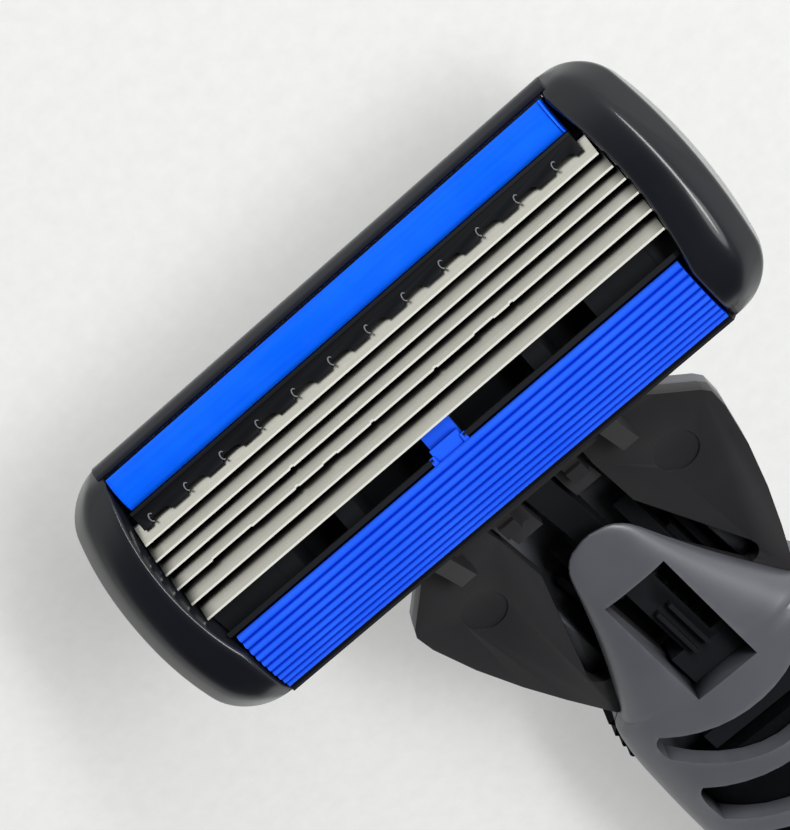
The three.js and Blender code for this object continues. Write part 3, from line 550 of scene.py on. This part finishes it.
MATERIALS = {make.__name__: make() for make in (
    satin_black, dark_plastic, wing_plastic, handle_plastic, black_rubber, blue_rubber, blue_strip,
    blade_steel, spring_steel)}


# ---- Cartridge ----

def cap_outer(y):
    barrel = CAP_HALF_WIDTH - CAP_BARREL * (y + 0.5) ** 2
    rise = max(y - (CAP_Y[1] - CAP_CORNER_R), (CAP_Y[0] + CAP_CORNER_R) - y, 0)
    return barrel - CAP_CORNER_R + math.sqrt(max(CAP_CORNER_R ** 2 - rise ** 2, 0))


def cap_inner(y):
    return max(OPENING_MIN, OPENING_HALF_WIDTH - OPENING_BARREL * (y - 0.5) ** 2)


def cap_face(y):
    reach = CREST_REACH[y > CREST_Y]
    return CREST_Z - CREST_FALL * (abs(y - CREST_Y) / reach) ** 2.5


def cap_back(y):
    return CAP_BACK + BACK_RISE * (abs(y - BACK_MIDDLE) / BACK_REACH) ** 4


def rim_share(inward, width):
    """Share of the rim's drop at a distance inward of the outline: about 1 at the outline, soft crest."""
    v = 1 - inward / width
    return (v + math.sqrt(v * v + RIM_CREST ** 2)) / 2


def rim_width(y):
    return min(RIM_WIDTH, 0.6 * (cap_outer(y) - cap_inner(y)))


def rim_drop(x, y):
    """How far the cap's front lies under its crowned face: the side slope and the end slopes joined."""
    outer = cap_outer(y)
    rim = rim_width(y)
    side = RIM_DROP * rim_share(outer - x, rim)
    ends = END_DROP * rim_share(min(CAP_Y[1] - y, y - CAP_Y[0]), END_WIDTH)
    return (side ** 3 + ends ** 3) ** (1 / 3)


def cap_ring(y, side):
    """Section of an end cap at y: inner lip, face and sloped rim, side wall, back."""
    inner, outer, back = cap_inner(y), cap_outer(y), cap_back(y)
    width = outer - inner
    rim = rim_width(y)
    lip = min(CAP_LIP, 0.25 * width)
    shares = [0.0, 0.12, 0.25, 0.4, 0.52, 0.6, 0.68, 0.76, 0.82, 0.88, 0.94, 1.0]
    xs = [inner + lip + (width - rim - lip) * t for t in shares]
    xs += [outer - rim * (1 - t) for t in (0.05, 0.1, 0.16, 0.24, 0.34, 0.46, 0.6, 0.75, 0.88, 0.96)]
    front = [(x, cap_face(y) - rim_drop(x, y)) for x in xs]
    edge = cap_face(y) - rim_drop(outer, y)
    lip_z = front[0][1]
    ring = [(inner + lip * (1 - math.sin(a)), lip_z - lip * (1 - math.cos(a)))
            for a in linspace(math.pi / 2, 0.3, 4)]
    ring += front[1:] + [(outer - 0.005, edge - 0.08), (outer, edge - 0.3), (outer - 0.03 * rim, edge - 1.2),
                         (outer - 0.12 * rim, back + 1.0), (outer - 0.3 * rim, back + 0.3),
                         (outer - 0.7 * rim, back), (inner, back)]
    low = back + 0.4
    return [(side * x, y, z if z < low else max(z, low)) for x, z in ring]


def end_cap(side):
    low, high = CAP_Y
    ends = [CAP_END_ZONE * (1 - math.cos(a)) for a in linspace(0, math.pi / 2, 16)]
    straight = CAP_END_ZONE + 0.2
    ys = [low + e for e in ends]
    ys += linspace(low + straight, high - straight, CAP_STEPS)
    ys += [high - e for e in reversed(ends)]
    return raw("end_cap", loft([cap_ring(y, side) for y in ys]), FACE)


def front_frame():
    top = CAP_Y[1] - 0.01
    front = cap_face(TOP_BAR_Y) + 0.1
    section = [(TOP_BAR_Y, -4.4), (top, -4.0)]
    section += arc(top - TOP_BAR_R, front - 1.1, TOP_BAR_R, 0, math.pi / 2, 12)
    section += [(TOP_BAR_Y + 0.15, front - 0.33), (TOP_BAR_Y, front - 0.45)]
    reach = OPENING_MIN + 0.35
    whole = combine(end_cap(-1), [end_cap(1), raw("top_bar", bar(section, (-reach, reach)), FACE)], "UNION")
    whole.name = "cartridge_frame"
    shown(whole, "cartridge", "satin_black", ["front_frame"], 38)


def on_guard(angle, depth):
    radius = GUARD_R - depth
    return GUARD_Y - radius * math.sin(angle), GUARD_Z + radius * math.cos(angle)


def guard_fins():
    """Finned elastomer over the guard bar; its fins lie closer together towards the bottom."""
    skin = []
    for t in linspace(0, 1, FIN_COUNT * FIN_STEPS + 1):
        ridge = abs(math.sin(math.pi * FIN_COUNT * t)) ** 0.8
        place = t + FIN_DRIFT * math.sin(math.pi * t)
        skin.append(on_guard(GUARD_ARC * place, FIN_HEIGHT * (1 - ridge)))
    base = [on_guard(a, GUARD_RUBBER) for a in linspace(GUARD_ARC, 0, 9)]
    half = GUARD_HALF_WIDTH
    pad = raw("guard_rubber", bar(skin + base, (-half, half)), FACE)
    tab_x = (-TAB_HALF_WIDTH, TAB_HALF_WIDTH)
    tools = [raw("tab", box(tab_x, TAB_Y, TAB_Z), FACE),
             raw("riser", box(tab_x, RISER_Y, RISER_Z), FACE)]
    nub = (TAB_HALF_WIDTH - 0.05, TAB_HALF_WIDTH + 0.28)
    tools += [raw("nub", box(sorted(side * x for x in nub), NUB_Y, NUB_Z), FACE)
              for side in (-1, 1)]
    combine(pad, tools, "UNION")
    shown(pad, "cartridge", "blue_rubber", ["guard_fins"], 50)


def lubricating_strip():
    """Crowned strip with its ends rounded over."""
    y0, y1 = STRIP_Y
    middle = (y0 + y1) / 2
    half = STRIP_HALF_WIDTH
    crown = [(y, STRIP_TOP + 0.075 - 0.275 * abs((y - middle) / (y1 - middle)) ** 2.6)
             for y in linspace(y1, y0, 19)]
    section = [(y0, -1.2), (y1, -1.2), *crown]
    soft = 0.12
    rings = []
    for a in linspace(0, math.pi / 2, 6):
        rings.append((-half + soft * (1 - math.sin(a)), soft * (1 - math.cos(a))))
    rings += [(-x, drop) for x, drop in reversed(rings)]
    shape = loft([[(x, y, z - (drop if z > -1 else 0)) for y, z in section] for x, drop in rings])
    piece = raw("moisture_strip", shape, FACE)
    shown(piece, "cartridge", "blue_strip", ["lubricating_strip"], 50)


def comb_outline():
    root = STRIP_Y[0] - 0.08
    half = STRIP_HALF_WIDTH + 0.08
    points = [(-half, root), (-half, COMB_TIP_Y)]
    for i in range(COMB_TEETH + 1):
        x = COMB_FIRST_X + COMB_PITCH * (i - COMB_TEETH / 2)
        for a in linspace(math.pi, 0, 11):
            reach = SCALLOP_WIDTH / 2 * math.copysign(abs(math.cos(a)) ** 0.6, math.cos(a))
            points.append((x + reach, COMB_TIP_Y + SCALLOP_DEPTH * math.sin(a) ** 0.8))
    return points + [(half, COMB_TIP_Y), (half, root)]


def hook_places():
    pitches = range(COMB_TEETH + 1)
    return [COMB_FIRST_X + COMB_PITCH * (i - COMB_TEETH / 2) + HOOK_SHIFT for i in pitches]


def hook_outline(x):
    """Crescent that opens towards the scallop."""
    y = COMB_TIP_Y + SCALLOP_DEPTH
    start, end = math.radians(40), math.radians(265)
    outline = arc(0, 0, HOOK_R, start, end, 11) + arc(0.02, 0, HOOK_R - HOOK_WIDTH, end, start, 11)
    return [(x + HOOK_NARROW * u, y + v) for u, v in outline]


def cap_comb():
    y = STRIP_Y[0]
    half = STRIP_HALF_WIDTH + 0.08
    rear = TOP_BAR_Y - 0.01
    front, lip = y - 0.3, y - 0.08
    tray = [(front, TRAY_BOTTOM), (rear, TRAY_BOTTOM), (rear, TRAY_TOP), (lip, TRAY_TOP),
            (lip, TRAY_LIP_TOP), (front, TRAY_LIP_TOP)]
    comb = raw("blade_comb", prism(comb_outline(), *COMB_Z), FACE)
    combine(comb, [raw("tray", bar(tray, (-half, half)), FACE)], "UNION")
    rounded(comb, 0.035, 2, 40)
    hook_z = (COMB_Z[1] - HOOK_ROOT, COMB_Z[1] + HOOK_RISE)
    hooks = [raw("hook", prism(hook_outline(x), *hook_z), FACE) for x in hook_places()]
    combine(comb, hooks, "UNION")
    # the hooks' tops and upper sides are marked for the light grey painted highlight
    mark(comb, "painted_highlight", lambda p: p.y < y - 0.35 and p.z > COMB_Z[1] + 0.02)
    shown(comb, "cartridge", "dark_plastic", ["cap_comb"])


def blade_stations(index, half):
    """(x, how far the edge is set back) along a blade, with a short ramp at each end of a nick."""
    ramp = 0.04
    stations = [(-half, 0.0)]
    for start, end in NICKS.get(index, ()):
        stations += [(start - ramp, 0.0), (start, NICK_DEPTH), (end, NICK_DEPTH), (end + ramp, 0.0)]
    return stations + [(half, 0.0)]


def blade(index, edge_y):
    """Blade: bevelled edge with fine nicks, raked tip, bend with an outside radius, foot."""
    bend = edge_y + BLADE_TIP * math.cos(BLADE_RAKE)
    inside = bend - BLADE_THICK
    thick = BLADE_THICK / math.cos(BLADE_RAKE)

    def top(y):
        return -(y - edge_y) * math.tan(BLADE_RAKE)

    def section(back):
        edge, bevel = edge_y + back, edge_y + BLADE_BEVEL
        band = edge + EDGE_BAND
        return [(edge, top(edge)), (bevel, top(bevel) - thick), (inside, top(inside) - thick),
                (inside, BLADE_FOOT), (bend, BLADE_FOOT), (bend, top(bend) - 0.12),
                (bend - 0.04, top(bend) - 0.02), (bend - 0.13, top(bend - 0.13)), (band, top(band))]

    half = min(cap_inner(edge_y), cap_inner(bend)) - FIT_GAP
    rings = [[(x, y, z) for y, z in section(back)] for x, back in blade_stations(index, half)]
    piece = raw(f"blade_strip_{index}", loft(rings), FACE)
    # painted highlight: the band along the edge takes a near-white colour
    mark(piece, "edge_highlight", lambda p: p.y < edge_y + 2 * EDGE_BAND and p.z > -0.12)
    # blades 2 to 6 lie under another blade and get the painted shade
    mark(piece, "shade_under_blade", lambda p: index > 1)
    shown(piece, "cartridge", "blade_steel", [f"blade_{index}"], 8)


def cartridge():
    front_frame()
    guard_fins()
    lubricating_strip()
    cap_comb()
    for index, edge_y in enumerate(BLADE_EDGES, 1):
        blade(index, edge_y)


# ---- Head and handle ----

def fan_z(y):
    return FAN_Z0 + FAN_SLOPE * y


def front_split(y):
    return fan_z(y) + PLATE_GAP if y > NECK_Y else along(SPLIT_Z, y) + PARTING_GAP / 2


def shell_ring(y, half, split_z, crown_z, power, count=41):
    """Half a squared-off ellipse from the parting plane to its crown."""
    ring = []
    for a in linspace(0, math.pi, count):
        c, s = math.cos(a), math.sin(a)
        x = half * math.copysign(abs(c) ** (2 / power), c)
        ring.append((x, y, split_z + (crown_z - split_z) * abs(s) ** (2 / power)))
    return ring


def quadratic(a, b, c, count=12):
    """A quadratic curve from a to c pulled towards b."""
    return [tuple((1 - t) ** 2 * p + 2 * t * (1 - t) * q + t * t * r for p, q, r in zip(a, b, c))
            for t in linspace(0, 1, count)]


def groove_outline(index):
    """A band between two arcs that sag towards the tail; the first one is slimmer at its ends."""
    crest = GROOVE_FIRST_Y - GROOVE_PITCH * index
    end = 6.0 if index == 0 else 6.45
    rise = 2.4
    low = crest - GROOVE_DROP
    side = crest + (0.3 if index == 0 else -0.9)
    corners = [(-end, crest + rise - 0.3), (0, crest - rise + 0.3), (end, crest + rise - 0.3),
               (end + 0.9, crest + rise - 0.6), (end + 0.6, side), (0, 2 * low - side), (-end - 0.6, side),
               (-end - 0.9, crest + rise - 0.6), (-end, crest + rise - 0.3)]
    points = []
    for i in range(0, 8, 2):
        points += quadratic(*corners[i:i + 3])[:-1]
    return points


def front_shell():
    ys = [-5.2, -5.3, -5.5, -5.8, -6.2] + linspace(-6.6, -18.0, 28) + linspace(-18.2, -46, 70)
    ys += linspace(-47, SHELL_END, 50)
    skin = raw("upper_shell", loft([shell_ring(y, along(NOSE_HALF, y), front_split(y), along(FRONT_Z, y),
                                               FRONT_POWER) for y in ys]), HANDLE)
    hollow_ys = linspace(-20, SHELL_END + 1, 60) + [SHELL_END - 1]
    hollow = [shell_ring(y, along(NOSE_HALF, y) - SHELL_WALL, front_split(y) - 0.6,
                         along(FRONT_Z, y) - SHELL_WALL, FRONT_POWER) for y in hollow_ys]
    tools = [raw("hollow", loft(hollow), HANDLE)]
    tools += [raw("groove", prism(groove_outline(i), *GROOVE_Z), HANDLE) for i in range(GROOVES)]
    tools.append(raw("window", box(NOSE_WINDOW_X, NOSE_WINDOW_Y, WINDOW_Z), HANDLE))
    tools.append(raw("bay", box(BAY_X, BAY_Y, BAY_Z), HANDLE))
    combine(skin, tools, "DIFFERENCE")
    shown(skin, "handle", "handle_plastic", ["front_shell"], 30)


def wing_plate():
    piece = rounded(copy_of("wing_plate", "front_wings"), 0.12, 3)
    shown(piece, "handle", "wing_plastic", ["wing_plate"])


def plunger_spring():
    """A round-wire coil in the place of its CAD node, with closed end turns."""
    low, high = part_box("plunger_spring")
    wire = SPRING_WIRE_R * MM
    centre = (low + high) / 2
    radius = (high.x - low.x) / 2 - wire
    y0, y1 = low.y + wire, high.y - wire
    rings = []
    total = SPRING_TURNS * SPRING_STEPS
    for i in range(total + 1):
        turn = 2 * math.pi * SPRING_TURNS * (i / total)
        rise = min(max((i / total * SPRING_TURNS - 0.75) / (SPRING_TURNS - 1.5), 0), 1)
        y = y0 + (y1 - y0) * rise
        out = Vector((math.cos(turn), 0, math.sin(turn)))
        middle = Vector((centre.x, y, centre.z)) + radius * out
        rings.append([tuple(middle + wire * (math.cos(a) * out + math.sin(a) * Vector((0, 1, 0))))
                      for a in linspace(0, 2 * math.pi, SPRING_SIDES + 1)[:-1]])
    piece = raw("pivot_return_coil", loft(rings), Matrix.Identity(4))
    shown(piece, "handle", "spring_steel", ["plunger_spring"], 40)
    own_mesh(piece)


# ---- CAD nodes that stay ----

def soften_group():
    """Geometry nodes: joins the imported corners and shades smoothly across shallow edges."""
    group = bpy.data.node_groups.new("soften", "GeometryNodeTree")
    group.interface.new_socket("Geometry", in_out="INPUT", socket_type="NodeSocketGeometry")
    group.interface.new_socket("Geometry", in_out="OUTPUT", socket_type="NodeSocketGeometry")
    nodes, link = group.nodes, group.links.new
    entry, leave = nodes.new("NodeGroupInput"), nodes.new("NodeGroupOutput")
    bare = nodes.new("GeometryNodeRemoveAttribute")
    bare.inputs["Name"].default_value = "custom_normal"
    merge = nodes.new("GeometryNodeMergeByDistance")
    merge.inputs["Distance"].default_value = WELD
    smooth = nodes.new("GeometryNodeSetShadeSmooth")
    smooth.inputs["Shade Smooth"].default_value = True
    angle = nodes.new("GeometryNodeInputMeshEdgeAngle")
    steep = nodes.new("FunctionNodeCompare")
    steep.inputs[1].default_value = math.radians(30)
    crisp = nodes.new("GeometryNodeSetShadeSmooth")
    crisp.domain = "EDGE"
    crisp.inputs["Shade Smooth"].default_value = False
    link(entry.outputs[0], bare.inputs["Geometry"])
    link(bare.outputs["Geometry"], merge.inputs["Geometry"])
    link(merge.outputs["Geometry"], smooth.inputs["Geometry"])
    link(smooth.outputs["Geometry"], crisp.inputs["Geometry"])
    link(angle.outputs["Unsigned Angle"], steep.inputs[0])
    link(steep.outputs[0], crisp.inputs["Selection"])
    link(crisp.outputs["Geometry"], leave.inputs[0])
    return group


BEVELLED = {"connector_yoke": 0.12, "cartridge_housing": 0.06, "pivot_plunger": 0.12, "ejector": 0.08,
            "release_button": 0.18, "back_grip": 0.2, "wing_backing": 0.15, "chassis": 0.05}


def round_edges(node, width):
    """Joins flat areas into single faces and rounds the sharp edges between them."""
    flat = node.modifiers.new("flat_areas", "DECIMATE")
    flat.decimate_type = "DISSOLVE"
    flat.angle_limit = FLAT
    step = node.modifiers.new("rounded_edges", "BEVEL")
    step.width = width * MM
    step.segments = 2
    step.limit_method = "ANGLE"
    step.angle_limit = math.radians(35)
    step.harden_normals = True


def kept_nodes():
    """CAD nodes that stay get smooth shading and a material, and rounded edges if BEVELLED names them."""
    group = soften_group()
    slots = {
        "dark_plastic": ("cartridge_housing", "pivot_plunger", "ejector", "chassis"),
        "wing_plastic": ("connector_yoke",),
        "handle_plastic": ("wing_backing", "back_shell", "tail_cap"),
        "black_rubber": ("release_button", "finger_insert", "back_grip", "side_grip_left", "side_grip_right"),
        "spring_steel": ("button_spring",),
    }
    for slot, names in slots.items():
        for name in names:
            node = NODES[name]
            node.modifiers.new("soften", "NODES").node_group = group
            if name in BEVELLED:
                round_edges(node, BEVELLED[name])
            node.data.materials.clear()
            node.data.materials.append(MATERIALS[slot])


# ---- Stage ----

def camera():
    side = Vector((math.cos(VIEW_SIDE), 0, -math.sin(VIEW_SIDE)))
    out = Vector((math.sin(VIEW_SIDE), 0, math.cos(VIEW_SIDE)))
    up = Vector((0, 1, 0))
    right = side * math.cos(VIEW_ROLL) - up * math.sin(VIEW_ROLL)
    above = side * math.sin(VIEW_ROLL) + up * math.cos(VIEW_ROLL)
    place = out * VIEW_DISTANCE + right * VIEW_OFFSET[0] + above * VIEW_OFFSET[1]
    turn = FACE.to_3x3().normalized()
    data = bpy.data.cameras.new("camera")
    data.sensor_width = SENSOR
    data.lens = LENS
    data.clip_start = 0.01
    data.clip_end = 20
    obj = bpy.data.objects.new("camera", data)
    axes = Matrix((turn @ right, turn @ above, turn @ out)).transposed()
    obj.matrix_world = Matrix.Translation(FACE @ place) @ axes.to_4x4()
    bpy.context.scene.collection.objects.link(obj)
    bpy.context.scene.camera = obj


def floor():
    z = CAD_BOX[0].z
    signs = ((-1, -1), (1, -1), (1, 1), (-1, 1))
    shape = [(u * FLOOR_HALF, v * FLOOR_HALF, z) for u, v in signs]
    mesh = bpy.data.meshes.new("floor")
    mesh.from_pydata(shape, [], [(0, 1, 2, 3)])
    obj = bpy.data.objects.new("floor", mesh)
    bpy.context.scene.collection.objects.link(obj)
    made = Nodes("pale_floor")
    paper = made.noise(900, 4, 0.6)
    tone = made.mix(made.between(paper, 0.0, 1.0), (0.48, 0.485, 0.475), (0.52, 0.525, 0.515))
    made.link(tone, "Base Color")
    made.set(Roughness=0.9, Specular_IOR_Level=0.2)
    made.set(Emission_Color=(1.0, 1.0, 0.99, 1), Emission_Strength=0.37)
    mesh.materials.append(made.material)


def soft_light(name, azimuth, elevation, distance, width, length, power):
    """Area light aimed at the head, with its length along the face's y.

    Angles are in degrees: azimuth 0 lies on +X and 90 on +Y.
    """
    target = FACE.translation
    a, e = math.radians(azimuth), math.radians(elevation)
    way = Vector((math.cos(a) * math.cos(e), math.sin(a) * math.cos(e), math.sin(e)))
    data = bpy.data.lights.new(name, "AREA")
    data.shape = "ELLIPSE"
    data.size = width
    data.size_y = length
    data.energy = power
    across = (FACE.to_3x3() @ Vector((0, 1, 0))).cross(way).normalized()
    axes = Matrix((across, way.cross(across), way)).transposed()
    obj = bpy.data.objects.new(name, data)
    obj.matrix_world = Matrix.Translation(target + way * distance) @ axes.to_4x4()
    bpy.context.scene.collection.objects.link(obj)


def world():
    """Bright near the horizon and dim overhead, as inside a tall white tent."""
    made = bpy.data.worlds.new("tent")
    made.use_nodes = True
    nodes, link = made.node_tree.nodes, made.node_tree.links.new
    place = nodes.new("ShaderNodeTexCoord")
    split = nodes.new("ShaderNodeSeparateXYZ")
    ramp = nodes.new("ShaderNodeValToRGB")
    stops = ((0.0, 0.95), (0.3, 0.8), (0.55, 0.24), (0.8, 0.07))
    elements = ramp.color_ramp.elements
    while len(elements) < len(stops):
        elements.new(0.5)
    for element, (height, grey) in zip(elements, stops):
        element.position = height
        element.color = (grey, grey, grey, 1)
    link(place.outputs["Generated"], split.inputs[0])
    link(split.outputs["Z"], ramp.inputs[0])
    link(ramp.outputs[0], nodes["Background"].inputs[0])
    bpy.context.scene.world = made


def lights():
    soft_light("key", 31, 44, 0.5, 0.075, 0.62, 2.0)
    soft_light("side", 0, 55, 0.6, 0.4, 0.4, 1.5)


cartridge()
wing_plate()
front_shell()
plunger_spring()
kept_nodes()
camera()
floor()
world()
lights()
bpy.context.scene.view_settings.view_transform = "Standard"
